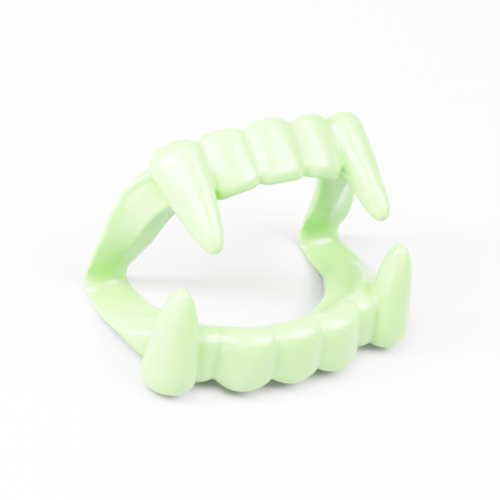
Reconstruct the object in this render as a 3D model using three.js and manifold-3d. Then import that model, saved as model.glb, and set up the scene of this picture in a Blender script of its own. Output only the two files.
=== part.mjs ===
import * as THREE from 'three';
import Module from 'manifold-3d';

// A vampire fang denture: one soft moulding that joins an upper and a lower toothed arch by two
// folded straps. Millimetres, +Z up, the front of the mouth faces -Y, X runs across the mouth.

// Straps and folds
const foldSpacing = 50.5;
const strapWidth = 10;
const strapThickness = 2.4;
const foldThickness = 1.25;
const foldRadius = 1.8;
const biteAngle = 60;
const edgeRounding = 1.1;
const strapRounding = 1.5;

// Upper arch
const upperDepth = 33.4;
const upperWallHeight = 10.4;
const upperLipDrop = 2.1;
const upperWallThickness = 2.6;
const upperShelfThickness = 2.8;
const upperShelfRaise = 2.1;
const upperToothCount = 3;
const upperToothWidth = 9.9;
const upperToothBulge = 1.4;
const upperGumScallop = 1.1;
const upperBiteScallop = 1.3;
const upperToothLean = 7.4;

// Lower arch
const lowerDepth = 27.1;
const lowerWallHeight = 9;
const lowerLipDrop = 2.8;
const lowerWallThickness = 2.8;
const lowerShelfThickness = 2.8;
const lowerShelfRaise = 0.4;
const lowerToothCount = 5;
const lowerToothWidth = 10.1;
const lowerToothBulge = 1.4;
const lowerGumScallop = 1.5;
const lowerBiteScallop = 0.4;
const lowerToothLean = 2.1;

// Fangs
const upperFangSpacing = 38.4;
const upperFangSetback = 6.2;
const upperFangLength = 23.1;
const upperFangRise = 10.6;
const upperFangWidth = 10.6;
const upperFangThickness = 8.4;
const upperFangTurn = 34;
const upperFangLean = 0;
const lowerFangSpacing = 50.4;
const lowerFangSetback = 4.7;
const lowerFangLength = 21.3;
const lowerFangRise = 8.3;
const lowerFangWidth = 10.6;
const lowerFangThickness = 9;
const lowerFangTurn = 41;
const lowerFangLean = 0.5;
const fangTipRadius = 1.85;

// Depth of the small flats on which the moulding stands
const restFlat = 0.2;

// Middle line of the upper band from the fold to the front: side is a share of half the fold
// spacing, forward a share of the depth, width a share of the strap width, firm, raise, gum and
// lip shares of the strap's full thickness, the shelf's raise, the wall height and the lip drop.
// Foot and crest are shares of the width, from the inner edge, where the rise to the crest starts
// and where the crest stands. Bevel is the share of the height cut off the outer bite edge.
const upperBand = [
  { side: 1.0, forward: 0.0, width: 1.0, firm: 0.0, raise: 0.0,
    gum: 0.0, lip: 0.0, foot: 0.4, crest: 0.8, bevel: 0.0 },
  { side: 0.986, forward: 0.146, width: 1.167, firm: 1.0, raise: 0.0,
    gum: 0.0, lip: 0.0, foot: 0.25, crest: 0.52, bevel: 0.5 },
  { side: 0.973, forward: 0.249, width: 1.205, firm: 1.0, raise: 0.051,
    gum: 0.105, lip: 0.0, foot: 0.2, crest: 0.43, bevel: 0.68 },
  { side: 0.92, forward: 0.38, width: 1.104, firm: 1.0, raise: 0.291,
    gum: 0.556, lip: 0.0, foot: 0.22, crest: 0.47, bevel: 0.8 },
  { side: 0.875, forward: 0.471, width: 0.98, firm: 1.0, raise: 0.573,
    gum: 0.851, lip: 0.0, foot: 0.35, crest: 0.68, bevel: 0.82 },
  { side: 0.772, forward: 0.608, width: 0.867, firm: 1.0, raise: 0.836,
    gum: 0.905, lip: 0.1, foot: 0.45, crest: 0.88, bevel: 0.78 },
  { side: 0.658, forward: 0.697, width: 0.763, firm: 1.0, raise: 0.982,
    gum: 0.992, lip: 0.5, foot: 0.48, crest: 0.86, bevel: 0.4 },
  { side: 0.502, forward: 0.75, width: 0.684, firm: 1.0, raise: 1.0,
    gum: 1.0, lip: 1.0, foot: 0.48, crest: 0.76, bevel: 0.0 },
  { side: 0.278, forward: 0.823, width: 0.62, firm: 1.0, raise: 1.0,
    gum: 1.0, lip: 1.0, foot: 0.48, crest: 0.76, bevel: 0.0 },
  { side: 0.0, forward: 0.84, width: 0.595, firm: 1.0, raise: 1.0,
    gum: 1.0, lip: 1.0, foot: 0.48, crest: 0.76, bevel: 0.0 },
];

// The same columns for the lower band.
const lowerBand = [
  { side: 1.0, forward: 0.0, width: 1.0, firm: 0.0, raise: 0.0,
    gum: 0.0, lip: 0.0, foot: 0.4, crest: 0.8, bevel: 0.0 },
  { side: 1.006, forward: 0.161, width: 1.06, firm: 1.0, raise: 0.0,
    gum: 0.0, lip: 0.0, foot: 0.4, crest: 0.7, bevel: 0.3 },
  { side: 0.987, forward: 0.353, width: 1.14, firm: 1.0, raise: 0.006,
    gum: 0.0, lip: 0.0, foot: 0.42, crest: 0.64, bevel: 0.5 },
  { side: 0.931, forward: 0.468, width: 1.2, firm: 1.0, raise: 0.206,
    gum: 0.374, lip: 0.6, foot: 0.5, crest: 0.86, bevel: 0.2 },
  { side: 0.756, forward: 0.662, width: 1.062, firm: 1.0, raise: 0.597,
    gum: 0.675, lip: 1.0, foot: 0.34, crest: 0.86, bevel: 0.0 },
  { side: 0.501, forward: 0.808, width: 0.944, firm: 1.0, raise: 1.0,
    gum: 0.95, lip: 1.0, foot: 0.2, crest: 0.8, bevel: 0.0 },
  { side: 0.278, forward: 0.892, width: 0.869, firm: 1.0, raise: 1.0,
    gum: 1.0, lip: 1.0, foot: 0.12, crest: 0.78, bevel: 0.0 },
  { side: 0.0, forward: 0.906, width: 0.744, firm: 1.0, raise: 1.0,
    gum: 1.0, lip: 1.0, foot: 0.1, crest: 0.78, bevel: 0.0 },
];

// Fang outline from the gum end (level 0) to the tip (level 1); width is a share of the fang's
// width and of its thickness.
const upperFangRows = [
  { level: 0.0, width: 0.52 },
  { level: 0.02, width: 0.75 },
  { level: 0.07, width: 0.93 },
  { level: 0.14, width: 1.0 },
  { level: 0.28, width: 0.945 },
  { level: 0.45, width: 0.848 },
  { level: 0.62, width: 0.722 },
  { level: 0.78, width: 0.575 },
  { level: 0.88, width: 0.455 },
];
const lowerFangRows = [
  { level: 0.0, width: 0.64 },
  { level: 0.03, width: 0.83 },
  { level: 0.09, width: 0.96 },
  { level: 0.18, width: 1.0 },
  { level: 0.36, width: 0.93 },
  { level: 0.54, width: 0.84 },
  { level: 0.7, width: 0.72 },
  { level: 0.82, width: 0.565 },
  { level: 0.9, width: 0.43 },
];

const toRadians = Math.PI / 180;
const foldTurn = (180 - biteAngle) * toRadians;

// A jaw's own frame: across (outward from the middle), ahead (from the fold to the front) and
// gumward (away from the bite). The lower jaw's ahead is -Y and its gumward is down.
const upperFrame = {
  ahead: new THREE.Vector3(0, -Math.cos(biteAngle * toRadians), Math.sin(biteAngle * toRadians)),
  gumward: new THREE.Vector3(0, Math.sin(biteAngle * toRadians), Math.cos(biteAngle * toRadians)),
  handed: -1,
};
const lowerFrame = {
  ahead: new THREE.Vector3(0, -1, 0),
  gumward: new THREE.Vector3(0, 0, -1),
  handed: 1,
};

const upperJaw = {
  frame: upperFrame,
  rows: upperBand,
  depth: upperDepth,
  wallHeight: upperWallHeight,
  lipDrop: upperLipDrop,
  wallThickness: upperWallThickness,
  shelfThickness: upperShelfThickness,
  shelfRaise: upperShelfRaise,
  toothCount: upperToothCount,
  toothWidth: upperToothWidth,
  toothBulge: upperToothBulge,
  gumScallop: upperGumScallop,
  biteScallop: upperBiteScallop,
  toothLean: upperToothLean,
};
const lowerJaw = {
  frame: lowerFrame,
  rows: lowerBand,
  depth: lowerDepth,
  wallHeight: lowerWallHeight,
  lipDrop: lowerLipDrop,
  wallThickness: lowerWallThickness,
  shelfThickness: lowerShelfThickness,
  shelfRaise: lowerShelfRaise,
  toothCount: lowerToothCount,
  toothWidth: lowerToothWidth,
  toothBulge: lowerToothBulge,
  gumScallop: lowerGumScallop,
  biteScallop: lowerBiteScallop,
  toothLean: lowerToothLean,
};

const stepsPerTooth = 8;
const stepsPerStrap = 18;
const stepsPerFold = 8;

function smooth(share) {
  const s = Math.min(Math.max(share, 0), 1);
  return s * s * (3 - 2 * s);
}

// Curves through a band's rows: its middle line, and its sizes along it.
function bandCurves(jaw) {
  const half = foldSpacing / 2;
  const farRows = jaw.rows.slice(0, -1).reverse().map((r) => ({ ...r, side: -r.side }));
  const mirrored = [...jaw.rows, ...farRows];
  const curve = (pick) => new THREE.CatmullRomCurve3(mirrored.map(pick), false, 'centripetal');
  const line = curve((r) => new THREE.Vector3(r.side * half, r.forward * jaw.depth, 0));
  const spline = (pick) => new THREE.CatmullRomCurve3(mirrored.map(pick), false, 'catmullrom', 0.4);
  const breadth = spline((r) => new THREE.Vector3(r.width * strapWidth, r.firm, r.raise));
  const edges = spline((r) => new THREE.Vector3(r.gum, r.lip, r.bevel));
  const ridge = spline((r) => new THREE.Vector3(r.foot, r.crest, 0));
  return { line, breadth, edges, ridge, length: line.getLength() };
}

// Distances along the band's middle line from the front centre to the fold where sections stand:
// closer together near the grooves between teeth.
function sectionDistances(jaw, halfLength) {
  const distances = [];
  let start = 0;
  const odd = jaw.toothCount % 2 === 1;
  const firstEnd = odd ? jaw.toothWidth / 2 : jaw.toothWidth;
  const teeth = [];
  for (let end = firstEnd; teeth.length < Math.ceil(jaw.toothCount / 2); end += jaw.toothWidth) {
    teeth.push([start, end]);
    start = end;
  }
  for (const [a, b] of teeth) {
    const halfTooth = a === 0 && odd;
    const steps = halfTooth ? stepsPerTooth / 2 : stepsPerTooth;
    for (let i = 0; i < steps; i += 1) {
      const whole = (1 - Math.cos((i / steps) * Math.PI)) / 2;
      const share = halfTooth ? Math.sin((i / steps) * Math.PI / 2) : whole;
      distances.push(a + (b - a) * share);
    }
  }
  for (let i = 0; i <= stepsPerStrap; i += 1) {
    distances.push(start + (halfLength - start) * (i / stepsPerStrap));
  }
  return distances;
}

// How far along a tooth a point lies: 0 at the grooves on both sides, 1 in the middle.
function toothShare(jaw, distance) {
  const reach = (jaw.toothCount * jaw.toothWidth) / 2;
  if (distance >= reach) {
    return { crown: 0, beyond: distance - reach };
  }
  const offset = jaw.toothCount % 2 === 1 ? jaw.toothWidth / 2 : 0;
  const place = ((distance + offset) / jaw.toothWidth) % 1;
  return { crown: 1 - Math.abs(2 * place - 1), beyond: 0 };
}

// One section of a band, as points in (across, gumward) measured from the middle line on the bite
// plane. The band is a shelf with a wall along its outer edge, which grows out of the flat strap.
function bandSection(jaw, station, tooth) {
  const crown = 1 - (1 - tooth.crown) ** 2.6;
  const corner = 1 - (1 - tooth.crown) ** 4;
  const base = jaw.shelfRaise * station.raise;
  const strap = foldThickness + (strapThickness - foldThickness) * station.firm;
  const thickness = strap + (jaw.shelfThickness - strapThickness) * station.gum;
  const shelf = base + thickness;
  const scallop = jaw.gumScallop * (1 - crown) * station.gum * (tooth.beyond > 0 ? 0.4 : 1);
  const top = Math.max(shelf + (jaw.wallHeight - shelf) * station.gum - scallop, shelf + 0.02);
  const lip = base - (base + jaw.lipDrop) * station.lip + jaw.biteScallop * (1 - corner) * station.lip;
  const edge = lip + (top - lip) * station.bevel;
  const inner = -station.width / 2;
  const face = station.width / 2;
  const wall = jaw.wallThickness;
  const root = face - wall;
  const small = Math.min(edgeRounding, thickness * 0.45);
  const across = strapRounding + (edgeRounding - strapRounding) * station.gum;
  const rise = Math.min(edgeRounding * 1.6, (top - edge) * 0.6);
  const biteRound = Math.min(edgeRounding * 1.3, (top - edge) * 0.35);
  const lean = Math.tan(jaw.toothLean * toRadians) * station.lip;
  const bulge = jaw.toothBulge * crown;
  const outer = (h, share) => face + bulge * share + h * lean;
  const middle = edge + biteRound;
  const span = top - rise - middle;
  const foot = Math.max(inner + station.width * station.foot, inner + small * 1.1);
  const crest = Math.min(inner + station.width * station.crest, outer(edge, 0.75) - biteRound * 1.3);
  const slope = (share) => foot + (crest - foot) * share;
  const bevelEnd = outer(edge, 0.75) - biteRound;
  const bevelled = (share) => [crest + (bevelEnd - crest) * share, lip + (edge - lip) * share];
  const slant = smooth(station.bevel * 1.6);
  const shoulder = Math.min(root + wall * 0.3, face - across * 1.1);
  const valley = root - wall * 0.5 + (Math.min(crest - thickness * 0.4 - root + wall * 0.5, 0)) * slant;
  const q = Math.SQRT1_2;
  return [
    [inner + small, shelf],
    [inner + small * (1 - q), shelf - small * (1 - q)],
    [inner, shelf - small],
    [inner, base + small],
    [inner + small * (1 - q), base + small * (1 - q)],
    [inner + small, base],
    [slope(0), base],
    [slope(0.3), base + (lip - base) * 0.3],
    [slope(0.7), base + (lip - base) * 0.82],
    [slope(1), lip],
    bevelled(0.33),
    bevelled(0.67),
    bevelled(1),
    [outer(edge, 0.75) - biteRound * 0.5, edge + biteRound * 0.134],
    [outer(edge, 0.75) - biteRound * 0.134, edge + biteRound * 0.5],
    [outer(middle, 0.8), middle],
    [outer(middle + span * 0.33, 0.95), middle + span * 0.33],
    [outer(middle + span * 0.67, 1), middle + span * 0.67],
    [outer(top - rise, 0.9), top - rise],
    [outer(top, 0.85) - across * 0.134, top - rise * 0.5],
    [outer(top, 0.8) - across * 0.5, top - rise * 0.134],
    [outer(top, 0.75) - across, top],
    [shoulder, top - (top - shelf) * 0.04],
    [root + (shoulder - root) * slant, top - (top - shelf) * (0.2 + 0.05 * slant)],
    [valley + (root - valley) * (0.6 - 0.25 * slant), shelf + (top - shelf) * (0.12 + 0.08 * slant)],
    [valley, shelf],
  ];
}

// The sections of one jaw from the front centre to one fold; side is +1 or -1.
function jawSections(jaw, side) {
  const curves = bandCurves(jaw);
  const halfLength = curves.length / 2;
  const limit = (value) => Math.min(Math.max(value, 0), 1);
  const sections = [];
  for (const distance of sectionDistances(jaw, halfLength)) {
    const t = curves.line.getUtoTmapping(Math.max(0.5 - 0.5 * (distance / halfLength), 0), 0);
    const at = curves.line.getPoint(t);
    const along = curves.line.getTangent(t);
    const breadth = curves.breadth.getPoint(t);
    const edges = curves.edges.getPoint(t);
    const ridge = curves.ridge.getPoint(t);
    const station = {
      width: breadth.x,
      firm: limit(breadth.y),
      raise: limit(breadth.z),
      gum: limit(edges.x),
      lip: limit(edges.y),
      bevel: limit(edges.z),
      foot: ridge.x,
      crest: ridge.y,
    };
    sections.push(bandSection(jaw, station, toothShare(jaw, distance)).map(([a, h]) => (
      new THREE.Vector3((at.x + along.y * a) * side, 0, 0)
        .addScaledVector(jaw.frame.ahead, at.y - along.x * a)
        .addScaledVector(jaw.frame.gumward, foldRadius + h)
    )));
  }
  return sections;
}

// The sections round one fold, from the upper strap to the lower strap.
function foldSections(side) {
  const { foot, crest, bevel } = lowerBand[0];
  const station = { width: strapWidth, firm: 0, raise: 0, gum: 0, lip: 0, foot, crest, bevel };
  const flat = bandSection(lowerJaw, station, { crown: 0, beyond: 1 });
  const sections = [];
  for (let i = 1; i < stepsPerFold; i += 1) {
    const turn = foldTurn * (1 - i / stepsPerFold);
    const gumward = new THREE.Vector3(0, Math.sin(turn), -Math.cos(turn));
    sections.push(flat.map(([a, h]) => new THREE.Vector3((foldSpacing / 2 + a) * side, 0, 0)
      .addScaledVector(gumward, foldRadius + h)));
  }
  return sections;
}

function geometryFrom(points, triangles) {
  const geometry = new THREE.BufferGeometry();
  const numbers = points.flatMap((p) => [p.x, p.y, p.z]);
  geometry.setAttribute('position', new THREE.Float32BufferAttribute(numbers, 3));
  geometry.setIndex(triangles);
  return geometry;
}

// A closed ring of sections, each a closed outline with the same number of points.
function ringLoft(sections) {
  const count = sections.length;
  const around = sections[0].length;
  const triangles = [];
  for (let i = 0; i < count; i += 1) {
    const next = (i + 1) % count;
    for (let j = 0; j < around; j += 1) {
      const k = (j + 1) % around;
      const a = i * around + j;
      const b = i * around + k;
      const c = next * around + k;
      const d = next * around + j;
      triangles.push(a, b, d, b, c, d);
    }
  }
  return geometryFrom(sections.flat(), triangles);
}

// A stack of sections closed by a point at each end.
function cappedLoft(sections, startPoint, endPoint) {
  const around = sections[0].length;
  const points = [...sections.flat(), startPoint, endPoint];
  const first = sections.length * around;
  const last = first + 1;
  const triangles = [];
  for (let j = 0; j < around; j += 1) {
    const k = (j + 1) % around;
    triangles.push(first, k, j);
    for (let i = 0; i + 1 < sections.length; i += 1) {
      const a = i * around + j;
      const b = i * around + k;
      const c = (i + 1) * around + k;
      const d = (i + 1) * around + j;
      triangles.push(a, b, d, b, c, d);
    }
    triangles.push((sections.length - 1) * around + j, (sections.length - 1) * around + k, last);
  }
  return geometryFrom(points, triangles);
}

function bandGeometry() {
  const right = [
    ...jawSections(lowerJaw, 1),
    ...foldSections(1).reverse(),
    ...jawSections(upperJaw, 1).reverse(),
  ];
  const left = [
    ...jawSections(upperJaw, -1).slice(1),
    ...foldSections(-1),
    ...jawSections(lowerJaw, -1).slice(1).reverse(),
  ];
  return ringLoft([...right, ...left]);
}

// A fang: an oval cone whose long axis follows the corner of the arch.
function fangGeometry(jaw, side, fang) {
  const sides = 20;
  const sections = [];
  const pole = (level) => {
    const gumward = fang.rise - level * fang.length;
    const lean = Math.tan(fang.lean * toRadians) * gumward;
    return new THREE.Vector3((fang.spacing / 2) * side, 0, 0)
      .addScaledVector(jaw.frame.ahead, jaw.depth - fang.setback + lean)
      .addScaledVector(jaw.frame.gumward, foldRadius + gumward);
  };
  const turn = fang.turn * toRadians;
  const tipRows = [0.3, 0.62, 0.87].map((share) => ({
    level: 1 - (fangTipRadius / fang.length) * (1 - share),
    width: (2 * fangTipRadius * Math.sqrt(1 - share ** 2)) / fang.width,
  }));
  for (const row of [...fang.rows, ...tipRows]) {
    const middle = pole(row.level);
    const section = [];
    for (let i = 0; i < sides; i += 1) {
      const angle = (i / sides) * 2 * Math.PI;
      const tipShare = smooth((row.level - 0.6) / 0.4);
      const thickness = fang.thickness + (fang.width - fang.thickness) * tipShare;
      const long = Math.cos(angle) * (fang.width / 2) * row.width;
      const short = Math.sin(angle) * (thickness / 2) * row.width;
      const across = long * Math.cos(turn) + short * Math.sin(turn);
      const ahead = -long * Math.sin(turn) + short * Math.cos(turn);
      section.push(new THREE.Vector3(across * side, 0, 0)
        .addScaledVector(jaw.frame.ahead, ahead)
        .add(middle));
    }
    if (side * jaw.frame.handed > 0) {
      section.reverse();
    }
    sections.push(section);
  }
  return cappedLoft(sections, pole(0), pole(1));
}

const upperFang = {
  spacing: upperFangSpacing,
  setback: upperFangSetback,
  length: upperFangLength,
  rise: upperFangRise,
  width: upperFangWidth,
  thickness: upperFangThickness,
  turn: upperFangTurn,
  lean: upperFangLean,
  rows: upperFangRows,
};
const lowerFang = {
  spacing: lowerFangSpacing,
  setback: lowerFangSetback,
  length: lowerFangLength,
  rise: lowerFangRise,
  width: lowerFangWidth,
  thickness: lowerFangThickness,
  turn: lowerFangTurn,
  lean: lowerFangLean,
  rows: lowerFangRows,
};

// Angle that brings the undersides of the folds and the lower gum edge onto one level plane.
function restTilt(geometry) {
  const foldReach = foldRadius + foldThickness;
  const points = geometry.attributes.position;
  let tilt = -Math.PI / 2;
  for (let i = 0; i < points.count; i += 1) {
    const forward = -points.getY(i);
    const below = -points.getZ(i);
    if (forward > lowerDepth / 3) {
      const slope = Math.atan2(below, forward);
      tilt = Math.max(tilt, slope - Math.asin(foldReach / Math.hypot(forward, below)));
    }
  }
  return tilt;
}

// The space under the plane on which the moulding stands.
function groundGeometry(box) {
  const level = (z) => [
    new THREE.Vector3(box.min.x - 1, box.min.y - 1, z),
    new THREE.Vector3(box.max.x + 1, box.min.y - 1, z),
    new THREE.Vector3(box.max.x + 1, box.max.y + 1, z),
    new THREE.Vector3(box.min.x - 1, box.max.y + 1, z),
  ];
  const low = -1 - restFlat;
  return cappedLoft([level(low), level(0)], new THREE.Vector3(0, 0, low), new THREE.Vector3(0, 0, 0));
}

const wasm = await Module();
wasm.setup();

function solidFrom(geometry) {
  return new wasm.Manifold(new wasm.Mesh({
    numProp: 3,
    vertProperties: new Float32Array(geometry.attributes.position.array),
    triVerts: new Uint32Array(geometry.index.array),
  }));
}

function geometryOf(solid) {
  const mesh = solid.getMesh();
  const geometry = new THREE.BufferGeometry();
  geometry.setAttribute('position', new THREE.Float32BufferAttribute(mesh.vertProperties, 3));
  geometry.setIndex(Array.from(mesh.triVerts));
  geometry.computeVertexNormals();
  return geometry;
}

// Stand the whole moulding on its folds and gum edge, with the middle of its box over the origin.
const pieces = [bandGeometry()];
for (const side of [1, -1]) {
  pieces.push(fangGeometry(upperJaw, side, upperFang), fangGeometry(lowerJaw, side, lowerFang));
}
const tilt = Math.max(...pieces.map(restTilt));
const box = new THREE.Box3();
for (const piece of pieces) {
  piece.rotateX(-tilt);
  piece.computeBoundingBox();
  box.union(piece.boundingBox);
}
const centreY = (box.min.y + box.max.y) / 2;
for (const piece of pieces) {
  piece.translate(0, -centreY, -box.min.z - restFlat);
}
box.translate(new THREE.Vector3(0, -centreY, -box.min.z - restFlat));

let moulding = solidFrom(pieces[0]);
for (const piece of pieces.slice(1)) {
  moulding = moulding.add(solidFrom(piece));
}
moulding = moulding.subtract(solidFrom(groundGeometry(box)));

const plastic = new THREE.MeshStandardMaterial({ color: '#cfeeb8', roughness: 0.3, metalness: 0 });

const group = new THREE.Group();
const denture = new THREE.Mesh(geometryOf(moulding), plastic);
denture.name = 'fang_denture';
group.add(denture);

export default group;
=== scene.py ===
import math

import bpy
import numpy as np
from mathutils import Matrix, Vector


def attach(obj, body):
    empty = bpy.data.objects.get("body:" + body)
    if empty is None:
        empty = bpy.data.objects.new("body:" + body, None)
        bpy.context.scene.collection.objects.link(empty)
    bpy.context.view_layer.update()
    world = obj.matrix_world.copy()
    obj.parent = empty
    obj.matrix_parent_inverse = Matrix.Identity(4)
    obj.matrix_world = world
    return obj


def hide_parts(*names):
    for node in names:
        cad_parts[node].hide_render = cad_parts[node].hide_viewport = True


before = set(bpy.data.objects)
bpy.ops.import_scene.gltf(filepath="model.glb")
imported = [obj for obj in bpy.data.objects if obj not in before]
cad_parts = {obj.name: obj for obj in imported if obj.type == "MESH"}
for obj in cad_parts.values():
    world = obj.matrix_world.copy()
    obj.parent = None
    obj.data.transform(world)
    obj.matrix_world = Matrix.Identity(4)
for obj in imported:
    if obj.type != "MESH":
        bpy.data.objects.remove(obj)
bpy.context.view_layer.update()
scene = bpy.context.scene
MM = 0.001

# ---------------------------------------------------------------- the moulding's sizes, in mm

FOLD_SPACING = 50.5
STRAP_WIDTH = 10.0
STRAP_THICKNESS = 2.4
FOLD_THICKNESS = 1.25
FOLD_RADIUS = 1.8
BITE_ANGLE = math.radians(60.0)
EDGE_ROUNDING = 1.1
STRAP_ROUNDING = 1.5
FANG_TIP_RADIUS = 1.85
# The middle of each tooth stands out by this much more than its jaw's bulge.
TOOTH_SWELL = 0.3

# How the moulding stands on its two folds and the gum ends of its lower fangs.
TILT = 0.340185108125456
FOLD_PLACE = (0.0, 11.796395063400269, 2.86057333946228)

# The skin is one grid of this pitch, in metres, evened in rounds: all of it, then the bite side
# of the folds within FOLD_REACH, then the straps from STRAP_START to STRAP_END ahead of the folds.
SKIN_PITCH = 0.00034
SKIN_ROUNDS, FOLD_ROUNDS, STRAP_ROUNDS = 18, 320, 12
FOLD_REACH, FOLD_REACH_FADE = 8.5, 3.0
FOLD_DEPTH, FOLD_DEPTH_FADE = 0.55, 0.3
STRAP_START, STRAP_START_FADE = 4.0, 6.0
STRAP_END, STRAP_END_FADE = 19.0, 3.0
# Before that, the straps' sections are evened along their run, with this fade at both ends.
SECTION_ROUNDS, SECTION_FADE = 80, 4.0
# A shrinking and a swelling step in turn, so that the skin keeps its size.
SHRINK, SWELL = 0.55, -0.565

UPPER = dict(
    depth=33.4, wall_height=10.4, lip_drop=2.1, wall=2.6, shelf=2.8,
    shelf_raise=2.1, teeth=3, tooth_width=9.9, bulge=1.4,
    gum_scallop=1.1, bite_scallop=1.3, lean=math.radians(7.4),
    bite_rounding=1.5, crown=2.2, crest_round=0.3,
    ahead=(0.0, -math.cos(BITE_ANGLE), math.sin(BITE_ANGLE)),
    gumward=(0.0, math.sin(BITE_ANGLE), math.cos(BITE_ANGLE)), handed=-1,
    # side, forward, width, firm, raise, gum, lip, foot, crest, bevel
    rows=[
        (1.0, 0.0, 1.0, 0.0, 0.0, 0.0, 0.0, 0.4, 0.8, 0.0),
        (0.986, 0.146, 1.167, 1.0, 0.0, 0.0, 0.0, 0.25, 0.52, 0.5),
        (0.973, 0.249, 1.205, 1.0, 0.051, 0.105, 0.0, 0.2, 0.43, 0.68),
        (0.92, 0.38, 1.104, 1.0, 0.291, 0.556, 0.0, 0.22, 0.47, 0.8),
        (0.875, 0.471, 0.98, 1.0, 0.573, 0.851, 0.0, 0.35, 0.68, 0.82),
        (0.772, 0.608, 0.867, 1.0, 0.836, 0.905, 0.1, 0.45, 0.88, 0.78),
        (0.658, 0.697, 0.763, 1.0, 0.982, 0.992, 0.5, 0.48, 0.86, 0.4),
        (0.502, 0.75, 0.684, 1.0, 1.0, 1.0, 1.0, 0.48, 0.76, 0.0),
        (0.278, 0.823, 0.62, 1.0, 1.0, 1.0, 1.0, 0.48, 0.76, 0.0),
        (0.0, 0.84, 0.595, 1.0, 1.0, 1.0, 1.0, 0.48, 0.76, 0.0)],
    fang=dict(
        spacing=38.4, setback=6.2, length=23.1, rise=10.6, width=10.6,
        thickness=8.4, turn=math.radians(34.0), lean=math.radians(0.0),
        rows=[(0.0, 0.52), (0.02, 0.75), (0.07, 0.93), (0.14, 1.0), (0.28, 0.945), (0.45, 0.848),
              (0.62, 0.722), (0.78, 0.575), (0.88, 0.455)]))
LOWER = dict(
    depth=27.1, wall_height=9.0, lip_drop=2.8, wall=2.8, shelf=2.8,
    shelf_raise=0.4, teeth=5, tooth_width=10.1, bulge=1.4,
    gum_scallop=1.5, bite_scallop=0.4, lean=math.radians(2.1),
    bite_rounding=2.5, crown=1.9, crest_round=0.6,
    ahead=(0.0, -1.0, 0.0), gumward=(0.0, 0.0, -1.0), handed=1,
    rows=[
        (1.0, 0.0, 1.0, 0.0, 0.0, 0.0, 0.0, 0.4, 0.8, 0.0),
        (1.006, 0.161, 1.06, 1.0, 0.0, 0.0, 0.0, 0.4, 0.7, 0.3),
        (0.987, 0.353, 1.14, 1.0, 0.006, 0.0, 0.08, 0.42, 0.72, 0.42),
        (0.931, 0.468, 1.2, 1.0, 0.206, 0.374, 0.82, 0.46, 0.85, 0.1),
        (0.756, 0.662, 1.062, 1.0, 0.597, 0.675, 1.0, 0.34, 0.76, 0.0),
        (0.501, 0.808, 0.944, 1.0, 1.0, 0.95, 1.0, 0.2, 0.67, 0.0),
        (0.278, 0.892, 0.869, 1.0, 1.0, 1.0, 1.0, 0.12, 0.63, 0.0),
        (0.0, 0.906, 0.744, 1.0, 1.0, 1.0, 1.0, 0.1, 0.6, 0.0)],
    fang=dict(
        spacing=50.4, setback=4.7, length=21.3, rise=8.3, width=10.6,
        thickness=9.0, turn=math.radians(41.0), lean=math.radians(0.5),
        rows=[(0.0, 0.64), (0.03, 0.83), (0.09, 0.96), (0.18, 1.0), (0.36, 0.93), (0.54, 0.84),
              (0.7, 0.72), (0.82, 0.565), (0.9, 0.43)]))

# ---------------------------------------------------------------- curves

# The slope at a point, as a share of the chord between its neighbours: for the rows of a table
# and for the points of a section.
ROW_TANGENT, RING_TANGENT = 0.4, 0.42
# Steps in which a jaw's middle line is measured.
LINE_STEPS = 4000


def cubic(b, c, start, end, w):
    """The curve from b to c that leaves b along start and reaches c along end."""
    return (b + start * w + (3 * (c - b) - 2 * start - end) * w ** 2
            + (2 * (b - c) + start + end) * w ** 3)


def catmull(points, t, centripetal):
    """Points on an open curve through the given points; t runs from 0 to 1."""
    p = np.asarray(points, float)
    p = np.vstack([2 * p[0] - p[1], p, 2 * p[-1] - p[-2]])
    span = len(p) - 3
    place = np.clip(np.asarray(t, float), 0, 1) * span
    i = np.minimum(place.astype(int), span - 1)
    w = (place - i)[:, None]
    a, b, c, d = p[i], p[i + 1], p[i + 2], p[i + 3]
    if centripetal:
        gap = [np.maximum(((v - u) ** 2).sum(1), 1e-12)[:, None] ** 0.25
               for u, v in ((a, b), (b, c), (c, d))]
        start = ((b - a) / gap[0] - (c - a) / (gap[0] + gap[1]) + (c - b) / gap[1]) * gap[1]
        end = ((c - b) / gap[1] - (d - b) / (gap[1] + gap[2]) + (d - c) / gap[2]) * gap[1]
    else:
        start, end = ROW_TANGENT * (c - a), ROW_TANGENT * (d - b)
    return cubic(b, c, start, end, w)


def ring_refined(ring, times):
    """A closed outline with `times` as many points, through the given ones."""
    a, b, c, d = (np.roll(ring, s, axis=0) for s in (1, 0, -1, -2))
    start, end = RING_TANGENT * (c - a), RING_TANGENT * (d - b)
    out = [cubic(b, c, start, end, k / times) for k in range(times)]
    return np.stack(out, axis=1).reshape(len(ring) * times, -1)


def band_distances(jaw, half, per_tooth, per_strap):
    """Where the sections of half a jaw lie, from its middle to the fold, closer at the grooves."""
    out, start = [], 0.0
    end = jaw["tooth_width"] / 2
    while len(out) == 0 or end <= jaw["teeth"] * jaw["tooth_width"] / 2 + 1e-6:
        first = start == 0
        steps = per_tooth // 2 if first else per_tooth
        for i in range(steps):
            turn = i / steps * math.pi
            share = math.sin(turn / 2) if first else (1 - math.cos(turn)) / 2
            out.append(start + (end - start) * share)
        start, end = end, end + jaw["tooth_width"]
    return out + [start + (half - start) * i / per_strap for i in range(per_strap + 1)]


def tooth_share(jaw, distance):
    """1 in the middle of a tooth and 0 in a groove, and whether the teeth have ended."""
    if distance >= jaw["teeth"] * jaw["tooth_width"] / 2:
        return 0.0, True
    place = (distance / jaw["tooth_width"] + 0.5) % 1
    return 1 - abs(2 * place - 1), False


# A quarter circle's middle points, as shares of its radius: at 45 degrees, and at 30 and 60.
DIAGONAL = 1 - math.sqrt(0.5)
NEAR, FAR = 0.134, 0.5
# The gum line dips less past the teeth, and the channel never closes quite, in mm.
SCALLOP_BEYOND, LEAST_DEPTH = 0.4, 0.02


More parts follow.
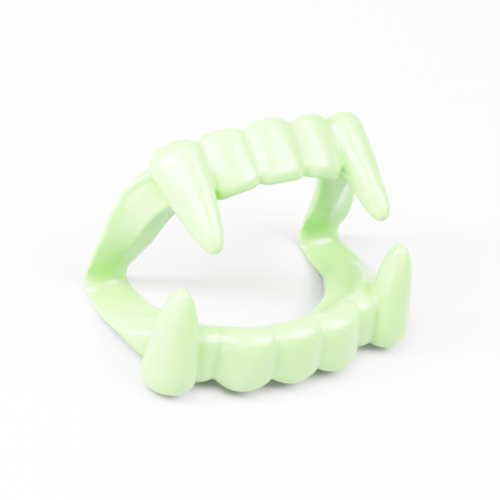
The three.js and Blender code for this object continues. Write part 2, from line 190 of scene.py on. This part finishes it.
def band_section(jaw, width, firm, raised, gum, lipped, foot, crest, bevel, share, beyond):
    """One section of a band, points in (across, gumward) from the middle line on the bite plane.

    foot and crest, shares of the width, are where the back of the tooth wall starts and ends. bevel
    is the share of the wall's height that the bevel at its crest takes.
    """
    crown, tooth_end = 1 - (1 - share) ** jaw["crown"], 1 - (1 - share) ** 4
    # Heights: the shelf's faces, the wall's top, its lip, and the edge where its bevel ends.
    base = jaw["shelf_raise"] * raised
    thickness = (FOLD_THICKNESS + (STRAP_THICKNESS - FOLD_THICKNESS) * firm
                 + (jaw["shelf"] - STRAP_THICKNESS) * gum)
    shelf = base + thickness
    scallop = jaw["gum_scallop"] * (1 - crown) * gum * (SCALLOP_BEYOND if beyond else 1)
    top = max(shelf + (jaw["wall_height"] - shelf) * gum - scallop, shelf + LEAST_DEPTH)
    depth = top - shelf
    lip = base - (base + jaw["lip_drop"]) * lipped + jaw["bite_scallop"] * (1 - tooth_end) * lipped
    edge = lip + (top - lip) * bevel
    # Places across: the inner edge, the face of the teeth and the back of the wall.
    inner, face, wall = -width / 2, width / 2, jaw["wall"]
    root = face - wall
    # Roundings: of the inner edge, the outer edge, the gum edge and the biting edge.
    small = min(EDGE_ROUNDING, thickness * 0.45)
    across = STRAP_ROUNDING + (EDGE_ROUNDING - STRAP_ROUNDING) * gum
    rise = min(EDGE_ROUNDING * 1.6, (top - edge) * 0.6)
    bite = min(EDGE_ROUNDING * jaw["bite_rounding"], (top - edge) * 0.35)
    lean = math.tan(jaw["lean"]) * lipped
    bulge = (jaw["bulge"] + TOOTH_SWELL) * crown
    half_way = (edge + top) / 2

    def outer(h, s):
        """The wall's face at a height, with a share of the bulge, falling back at the crest."""
        fall = max((half_way - h) / (half_way - edge + 0.01), 0) ** 2
        return face + bulge * s + h * lean - jaw["crest_round"] * lipped * fall

    middle = edge + bite
    span = top - rise - middle
    foot = max(inner + width * foot, inner + small * 1.1)
    crest = min(inner + width * crest, outer(edge, 0.75) - bite * 1.3)
    bevel_end = outer(edge, 0.75) - bite

    def slope(s):
        return foot + (crest - foot) * s

    def bevelled(s):
        return crest + (bevel_end - crest) * s, lip + (edge - lip) * s

    # Where the wall is bevelled, the channel behind it closes to a slanting back.
    slant = min(max(bevel * 1.6, 0), 1)
    slant = slant * slant * (3 - 2 * slant)
    shoulder = min(root + wall * 0.3, face - across * 1.1)
    valley = root - wall * 0.5 + min(crest - thickness * 0.4 - root + wall * 0.5, 0) * slant
    corner = small * DIAGONAL
    return np.array([
        # the inner edge, from the gum side to the bite side
        (inner + small, shelf),
        (inner + corner, shelf - corner),
        (inner, shelf - small),
        (inner, base + small),
        (inner + corner, base + corner),
        (inner + small, base),
        # the back of the tooth wall, down to its crest
        (slope(0), base),
        (slope(0.3), base + (lip - base) * 0.3),
        (slope(0.7), base + (lip - base) * 0.82),
        (slope(1), lip),
        # the bevel and the rounded biting edge
        bevelled(0.33),
        bevelled(0.67),
        bevelled(1),
        (outer(edge + bite * NEAR, 0.76) - bite * FAR, edge + bite * NEAR),
        (outer(edge + bite * FAR, 0.78) - bite * NEAR, edge + bite * FAR),
        # the face of the tooth
        (outer(middle, 0.8), middle),
        (outer(middle + span * 0.33, 0.95), middle + span * 0.33),
        (outer(middle + span * 0.67, 1), middle + span * 0.67),
        (outer(top - rise, 0.9), top - rise),
        # the rounded gum edge
        (outer(top, 0.85) - across * NEAR, top - rise * FAR),
        (outer(top, 0.8) - across * FAR, top - rise * NEAR),
        (outer(top, 0.75) - across, top),
        # the channel behind the wall
        (shoulder, top - depth * 0.04),
        (root + (shoulder - root) * slant, top - depth * (0.2 + 0.05 * slant)),
        (valley + (root - valley) * (0.6 - 0.25 * slant), shelf + depth * (0.12 + 0.08 * slant)),
        (valley, shelf)])


def jaw_sections(jaw, side, per_tooth=24, per_strap=60, times=4):
    """The sections of one side of a jaw, from its middle to the fold, in the folds' frame."""
    rows = np.array(jaw["rows"])
    far = rows[:-1][::-1].copy()
    far[:, 0] *= -1
    rows = np.vstack([rows, far])
    line = rows[:, :2] * (FOLD_SPACING / 2, jaw["depth"])
    t = np.linspace(0, 1, LINE_STEPS + 1)
    path = catmull(line, t, True)
    run = np.concatenate([[0], np.cumsum(np.linalg.norm(np.diff(path, axis=0), axis=1))])
    half = run[-1] / 2
    distances = np.array(band_distances(jaw, half, per_tooth, per_strap))
    at_t = np.interp(run[-1] * np.maximum(0.5 - 0.5 * distances / half, 0), run, t)
    at = catmull(line, at_t, True)
    step = 1e-4
    along = catmull(line, at_t + step, True) - catmull(line, at_t - step, True)
    along[-1] = catmull(line, [step], True)[0] - catmull(line, [0.0], True)[0]
    along /= np.linalg.norm(along, axis=1)[:, None]
    shares = catmull(rows[:, 2:] * (STRAP_WIDTH, 1, 1, 1, 1, 1, 1, 1), at_t, False)
    shares[:, 1:] = np.clip(shares[:, 1:], 0, 1)
    ahead, gumward = np.array(jaw["ahead"]), np.array(jaw["gumward"])
    sections = []
    for d, p, v, s in zip(distances, at, along, shares):
        ring = ring_refined(band_section(jaw, *s, *tooth_share(jaw, d)), times)
        a, h = ring[:, :1], ring[:, 1:]
        sections.append(np.array([side, 0, 0]) * (p[0] + v[1] * a) + ahead * (p[1] - v[0] * a)
                        + gumward * (FOLD_RADIUS + h))
    run, last_tooth = np.array(sections), jaw["teeth"] * jaw["tooth_width"] / 2
    free = (np.clip((distances - last_tooth) / SECTION_FADE, 0, 1)
            * np.clip((half - distances) / SECTION_FADE, 0, 1))
    for _ in range(SECTION_ROUNDS):
        run[1:-1] += 0.25 * free[1:-1, None, None] * (run[2:] + run[:-2] - 2 * run[1:-1])
    return list(run)


def fold_sections(side, steps=20, times=4):
    """The sections around one fold, between the straps' ends."""
    foot, crest, bevel = LOWER["rows"][0][-3:]
    section = band_section(LOWER, STRAP_WIDTH, 0, 0, 0, 0, foot, crest, bevel, 0, True)
    ring = ring_refined(section, times)
    sections = []
    for i in range(1, steps):
        turn = (math.pi - BITE_ANGLE) * (1 - i / steps)
        out = np.array([0, math.sin(turn), -math.cos(turn)])
        sections.append(np.array([side, 0, 0]) * (FOLD_SPACING / 2 + ring[:, :1])
                        + out * (FOLD_RADIUS + ring[:, 1:]))
    return sections


def loft(sections, closed):
    """Vertices and faces of a stack of rings, closed into a loop or capped at both ends."""
    around, count = len(sections[0]), len(sections)
    verts = np.vstack(sections)
    i, j = np.meshgrid(np.arange(count if closed else count - 1), np.arange(around), indexing="ij")
    k, n = (j + 1) % around, (i + 1) % count
    quads = np.stack([i * around + j, i * around + k, n * around + k, n * around + j], -1)
    quads = quads.reshape(-1, 4).tolist()
    if not closed:
        first = len(verts)
        verts = np.vstack([verts, sections[0].mean(0), sections[-1].mean(0)])
        quads += [[first, (a + 1) % around, a] for a in range(around)]
        last = (count - 1) * around
        quads += [[last + a, last + (a + 1) % around, first + 1] for a in range(around)]
    return verts, quads


def band():
    """The two arches, the straps and the folds as one closed loop."""
    right = jaw_sections(LOWER, 1) + fold_sections(1)[::-1] + jaw_sections(UPPER, 1)[::-1]
    left = jaw_sections(UPPER, -1)[1:] + fold_sections(-1) + jaw_sections(LOWER, -1)[1:][::-1]
    return loft(right + left, True)


def hermite(xs, ys, x):
    """Smooth values between the rows of a table, with no overshoot."""
    xs, ys = np.asarray(xs, float), np.asarray(ys, float)
    h, d = np.diff(xs), np.diff(ys) / np.diff(xs)
    m = np.zeros(len(xs))
    same = d[:-1] * d[1:] > 0
    m[1:-1][same] = (h[1:] + h[:-1])[same] * 1.5 / (
        (2 * h[1:] + h[:-1])[same] / d[:-1][same] + (h[1:] + 2 * h[:-1])[same] / d[1:][same]) * 2
    m[0], m[-1] = d[0], d[-1]
    i = np.clip(np.searchsorted(xs, x) - 1, 0, len(h) - 1)
    w = (x - xs[i]) / h[i]
    return ((1 + 2 * w) * (1 - w) ** 2 * ys[i] + w * (1 - w) ** 2 * h[i] * m[i]
            + w * w * (3 - 2 * w) * ys[i + 1] + w * w * (w - 1) * h[i] * m[i + 1])


def fang(jaw, side, sides=56):
    """One fang: a stack of ellipses that gets thicker across towards its round tip."""
    f = jaw["fang"]
    ahead, gumward = np.array(jaw["ahead"]), np.array(jaw["gumward"])
    tip = [(1 - FANG_TIP_RADIUS / f["length"] * (1 - s),
            2 * FANG_TIP_RADIUS * math.sqrt(1 - s * s) / f["width"])
           for s in (0.3, 0.62, 0.87, 0.97)]
    rows = np.array(f["rows"] + tip)
    # Shares of the length, from the gum end, where the steps are finer, to the tip.
    levels = np.concatenate([np.linspace(0, 0.16, 17), np.linspace(0.18, rows[-1][0], 46)])
    sections = []
    angle = np.linspace(0, 2 * math.pi, sides, endpoint=False)
    for level, share in zip(levels, hermite(rows[:, 0], rows[:, 1], levels)):
        high = f["rise"] - level * f["length"]
        middle = (np.array([f["spacing"] / 2 * side, 0, 0])
                  + ahead * (jaw["depth"] - f["setback"] + math.tan(f["lean"]) * high)
                  + gumward * (FOLD_RADIUS + high))
        late = min(max((level - 0.6) / 0.4, 0), 1)
        thick = f["thickness"] + (f["width"] - f["thickness"]) * late * late * (3 - 2 * late)
        long, short = np.cos(angle) * f["width"] / 2 * share, np.sin(angle) * thick / 2 * share
        c, s = math.cos(f["turn"]), math.sin(f["turn"])
        ring = (np.outer(long * c + short * s, [side, 0, 0])
                + np.outer(short * c - long * s, ahead) + middle)
        sections.append(ring[::-1] if side * jaw["handed"] > 0 else ring)
    return loft(sections, False)


# ---------------------------------------------------------------- the moulding


def merged(parts):
    """One list of vertices and one of faces, from those of several parts."""
    verts, faces, base = [], [], 0
    for v, f in parts:
        verts.append(v)
        faces += [[base + i for i in face] for face in f]
        base += len(v)
    return np.vstack(verts), faces


def turned(verts, angle):
    """Places or directions turned about the X axis."""
    c, s = math.cos(angle), math.sin(angle)
    return verts @ np.array([[1, 0, 0], [0, c, -s], [0, s, c]]).T


def stood(verts):
    """From the folds' own frame to the frame in which the moulding stands, in metres."""
    return (turned(verts, -TILT) + np.array(FOLD_PLACE)) * MM


def unstood(co):
    """From metres where the moulding stands back to the folds' own frame."""
    return turned(co / MM - np.array(FOLD_PLACE), TILT)


def vertex_places(mesh):
    """The places of a mesh's vertices, one row each."""
    co = np.empty(len(mesh.vertices) * 3)
    mesh.vertices.foreach_get("co", co)
    return co.reshape(-1, 3)


def edge_ends(mesh):
    """The two vertices of each of a mesh's edges."""
    ends = np.empty(len(mesh.edges) * 2, dtype=np.int64)
    mesh.edges.foreach_get("vertices", ends)
    return ends.reshape(-1, 2)


def neighbours_total(co, ends):
    """The sum of the places of each vertex's neighbours."""
    total = np.zeros_like(co)
    for axis in range(3):
        total[:, axis] = (np.bincount(ends[:, 0], co[ends[:, 1], axis], len(co))
                          + np.bincount(ends[:, 1], co[ends[:, 0], axis], len(co)))
    return total


def smoothed(mesh, rounds):
    """Evens out the surface without shrinking it, and keeps it on the ground."""
    co, ends = vertex_places(mesh), edge_ends(mesh)
    near = np.bincount(ends.ravel(), minlength=len(co)).astype(float)
    for k in range(rounds * 2):
        total = neighbours_total(co, ends)
        co = co + (SHRINK if k % 2 == 0 else SWELL) * (total / near[:, None] - co)
    co[:, 2] = np.maximum(co[:, 2], 0.0)
    mesh.vertices.foreach_set("co", co.ravel())
    mesh.update()


def evened(mesh, rounds, pull_of):
    """Relaxes the skin where pull_of, given places in the folds' frame, is above 0."""
    co, ends = vertex_places(mesh), edge_ends(mesh)
    pull = pull_of(unstood(co))
    ends = ends[(pull[ends] > 0).any(axis=1)]
    near = np.maximum(np.bincount(ends.ravel(), minlength=len(co)), 1).astype(float)
    for _ in range(rounds):
        total = neighbours_total(co, ends)
        co = co + 0.5 * pull[:, None] * (total / near[:, None] - co)
    mesh.vertices.foreach_set("co", co.ravel())
    mesh.update()


def jaw_places(own):
    """For each jaw, how far places are ahead of the folds and how far gumward."""
    return [(own @ np.array(jaw["ahead"]), own @ np.array(jaw["gumward"]))
            for jaw in (LOWER, UPPER)]


def folds_pull(own):
    """The bite side of the two folds, where the curve is filled."""
    reach = np.hypot(own[:, 1], own[:, 2])
    level = reach.copy()
    for ahead, height in jaw_places(own):
        flat = (ahead > 0) & (height > 0)
        level[flat] = np.minimum(level[flat], height[flat])
    return (np.clip((FOLD_REACH - reach) / FOLD_REACH_FADE, 0, 1)
            * np.clip((FOLD_RADIUS + FOLD_DEPTH - level) / FOLD_DEPTH_FADE, 0, 1))


def straps_pull(own):
    """The four straps between the folds and the fangs."""
    (low_ahead, low_height), (high_ahead, high_height) = jaw_places(own)
    ahead = np.where(np.abs(low_height) < np.abs(high_height), low_ahead, high_ahead)
    return (np.clip((ahead - STRAP_START) / STRAP_START_FADE, 0, 1)
            * np.clip((STRAP_END - ahead) / STRAP_END_FADE, 0, 1))


parts = [band()] + [fang(jaw, side) for jaw in (UPPER, LOWER) for side in (1, -1)]
verts, faces = merged(parts)
mesh = bpy.data.meshes.new("moulding")
mesh.from_pydata(stood(verts).tolist(), [], faces)
mesh.update()
moulding = bpy.data.objects.new("moulding", mesh)
scene.collection.objects.link(moulding)
remesh = moulding.modifiers.new("remesh", "REMESH")
remesh.mode = "VOXEL"
remesh.voxel_size = SKIN_PITCH
remesh.adaptivity = 0.0
graph = bpy.context.evaluated_depsgraph_get()
fine = bpy.data.meshes.new_from_object(moulding.evaluated_get(graph))
moulding.modifiers.clear()
moulding.data = fine
smoothed(fine, SKIN_ROUNDS)
evened(fine, FOLD_ROUNDS, folds_pull)
evened(fine, STRAP_ROUNDS, straps_pull)
for polygon in fine.polygons:
    polygon.use_smooth = True

# ---------------------------------------------------------------- materials

# A pale green that varies a little from place to place, and a deeper green painted into the
# recesses as shade.
PALE, PALER = (0.26, 0.465, 0.165, 1), (0.28, 0.48, 0.185, 1)
PAINTED_SHADE_GREEN = (0.17, 0.50, 0.03, 1)
# How far around, in metres, the painted shade looks for nearby surfaces; how open a place is where
# the painted shade is deepest and where there is none; and the share of pale green that is left
# under the deepest painted shade.
PAINTED_SHADE_REACH, PAINTED_SHADE_FULL_AT, PAINTED_SHADE_NONE_AT, PAINTED_SHADE_LEAST_PALE = 0.014, 0.3, 0.9, 0.35
# Sockets of the colour mix node, which has one set of inputs for each kind of data.
MIX_FACTOR, MIX_A, MIX_B, MIX_COLOUR = 0, 6, 7, 2


def set_inputs(target, values):
    for key, value in values.items():
        target.inputs[key].default_value = value


def node(kind, place, inputs=(), **settings):
    n = tree.nodes.new(kind)
    n.location = place
    for key, value in settings.items():
        setattr(n, key, value)
    set_inputs(n, dict(inputs))
    return n


def noise(place, scale, detail, roughness):
    """A noise over the object's own coordinates."""
    n = node("ShaderNodeTexNoise", place,
             {"Scale": scale, "Detail": detail, "Roughness": roughness})
    link(coords.outputs["Object"], n.inputs["Vector"])
    return n.outputs["Fac"]


plastic = bpy.data.materials.new("pale_green_plastic")
plastic.use_nodes = True
tree = plastic.node_tree
link = tree.links.new
shader = tree.nodes["Principled BSDF"]
set_inputs(shader, {
    "Subsurface Weight": 0.85, "Subsurface Radius": (0.45, 1.0, 0.22), "Subsurface Scale": 0.0045,
    "IOR": 1.5, "Specular IOR Level": 0.4, "Coat Weight": 0.12, "Coat Roughness": 0.06})
coords = node("ShaderNodeTexCoord", (-1200, 0))

tint = node("ShaderNodeValToRGB", (-650, 250))
for element, place, colour in zip(tint.color_ramp.elements, (0.3, 0.7), (PALE, PALER)):
    element.position, element.color = place, colour
link(noise((-900, 200), 90.0, 3.0, 0.5), tint.inputs["Fac"])
# Painted shade: hollows, grooves and faces hidden by other parts are tinted a deeper green by how
# enclosed they are, in place of the shade that falls there.
painted_shade_enclosure = node("ShaderNodeAmbientOcclusion", (-900, 500), {"Distance": PAINTED_SHADE_REACH},
               samples=16, only_local=True)
painted_shade_openness = node("ShaderNodeMapRange", (-650, 500), {
    "From Min": PAINTED_SHADE_FULL_AT, "From Max": PAINTED_SHADE_NONE_AT, "To Min": PAINTED_SHADE_LEAST_PALE})
link(painted_shade_enclosure.outputs["AO"], painted_shade_openness.inputs["Value"])
# Painted shade: the base colour is the pale tint mixed towards the deeper shade green where the
# surface is enclosed.
green = node("ShaderNodeMix", (-350, 350), data_type="RGBA", blend_type="MIX")
green.inputs[MIX_A].default_value = PAINTED_SHADE_GREEN
link(painted_shade_openness.outputs["Result"], green.inputs[MIX_FACTOR])
link(tint.outputs["Color"], green.inputs[MIX_B])
link(green.outputs[MIX_COLOUR], shader.inputs["Base Color"])

gloss = node("ShaderNodeMapRange", (-650, -100), {"To Min": 0.16, "To Max": 0.27})
link(noise((-900, -100), 400.0, 4.0, 0.6), gloss.inputs["Value"])
link(gloss.outputs["Result"], shader.inputs["Roughness"])
grain = node("ShaderNodeBump", (-650, -400), {"Strength": 0.06, "Distance": 0.0002})
link(noise((-900, -400), 1500.0, 3.0, 0.6), grain.inputs["Height"])
link(grain.outputs["Normal"], shader.inputs["Normal"])
fine.materials.clear()
fine.materials.append(plastic)

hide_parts("fang_denture")
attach(moulding, "root")

# ---------------------------------------------------------------- floor

# Half the floor's side, in metres.
FAR_EDGE = 3.0
floor_mesh = bpy.data.meshes.new("floor")
floor_mesh.from_pydata(
    [(x * FAR_EDGE, y * FAR_EDGE, 0) for x, y in ((-1, -1), (1, -1), (1, 1), (-1, 1))],
    [], [(0, 1, 2, 3)])
floor = bpy.data.objects.new("floor", floor_mesh)
scene.collection.objects.link(floor)
paint = bpy.data.materials.new("pale_floor")
paint.use_nodes = True
set_inputs(paint.node_tree.nodes["Principled BSDF"], {
    "Base Color": (0.5, 0.5, 0.5, 1), "Roughness": 0.85, "Specular IOR Level": 0.1})
floor_mesh.materials.append(paint)

# ---------------------------------------------------------------- light

world = bpy.data.worlds.new("studio")
scene.world = world
world.use_nodes = True
set_inputs(world.node_tree.nodes["Background"], {"Color": (1, 1, 1, 1), "Strength": 0.3})

# The middle of the moulding, in metres, which the lamps face.
MIDDLE = Vector((0, 0, 0.018))


def lamp(name, direction, distance, size, power):
    """A soft box at a distance from the middle of the moulding, turned to face it."""
    data = bpy.data.lights.new(name, "AREA")
    data.shape = "RECTANGLE"
    data.size, data.size_y = size
    data.energy = power
    box = bpy.data.objects.new(name, data)
    box.location = MIDDLE + Vector(direction).normalized() * distance
    box.rotation_euler = (MIDDLE - box.location).to_track_quat("-Z", "Y").to_euler()
    scene.collection.objects.link(box)


lamp("streak_box", (-0.855, 0.26, 0.45), 0.5, (0.09, 0.32), 8.0)
lamp("left_box", (-0.5, 0.1, 0.86), 0.6, (0.36, 0.36), 10.8)
lamp("top_box", (0.25, -0.1, 0.96), 0.7, (0.80, 0.80), 10.5)
lamp("low_box", (-0.88, -0.41, 0.22), 0.6, (0.30, 0.30), 2.5)
lamp("right_box", (0.54, -0.25, 0.80), 0.6, (0.40, 0.40), 8.0)

# ---------------------------------------------------------------- camera

# The photo's view, measured in the folds' own frame and turned with the moulding.
AZIMUTH, ELEVATION, ROLL = (math.radians(v) for v in (-38.4, 30.0, 10.32))
# Where the folds' frame's origin falls in the picture, which is IMAGE pixels wide and high.
PLACE = (221.50, 258.68)
# The camera's distance and its sensor's width are in mm.
IMAGE, PIXELS_PER_MM, DISTANCE, SENSOR = 500.0, 5.13, 600.0, 36.0

level = np.array([math.cos(AZIMUTH), math.sin(AZIMUTH), 0.0])
behind = np.array([math.sin(AZIMUTH) * math.cos(ELEVATION),
                   -math.cos(AZIMUTH) * math.cos(ELEVATION), math.sin(ELEVATION)])
upright = np.cross(behind, level)
across, upward, behind = (turned(v, -TILT) for v in (
    math.cos(ROLL) * level + math.sin(ROLL) * upright,
    math.cos(ROLL) * upright - math.sin(ROLL) * level, behind))
centre = np.array(FOLD_PLACE)
eye = centre + behind * DISTANCE
aim = (centre + across * (IMAGE / 2 - PLACE[0]) / PIXELS_PER_MM
       - upward * (IMAGE / 2 - PLACE[1]) / PIXELS_PER_MM)
back = (eye - aim) / np.linalg.norm(eye - aim)
right = across - back * (across @ back)
right /= np.linalg.norm(right)
up = np.cross(back, right)
camera_data = bpy.data.cameras.new("camera")
camera_data.sensor_width = SENSOR
camera_data.lens = PIXELS_PER_MM * np.linalg.norm(eye - aim) * SENSOR / IMAGE
camera_data.clip_start = 0.01
camera_data.clip_end = 20.0
camera = bpy.data.objects.new("camera", camera_data)
camera.matrix_world = Matrix([(*axes, place * MM) for *axes, place in zip(right, up, back, eye)]
                             + [(0, 0, 0, 1)])
scene.collection.objects.link(camera)
scene.camera = camera

# The print's tones: a soft shoulder that turns the brightest greens pale, as in the photo.
WHITE = 4.0
view = scene.view_settings
view.view_transform = "Standard"
view.look = "None"
view.use_curve_mapping = True
tones = view.curve_mapping
tones.white_level = (WHITE, WHITE, WHITE)
tones.extend = "HORIZONTAL"
curve = tones.curves[3]
for x in (0.06, 0.12, 0.2, 0.3, 0.45, 0.65):
    curve.points.new(x, (1 - math.exp(-WHITE * x)) / (1 - math.exp(-WHITE)))
tones.update()
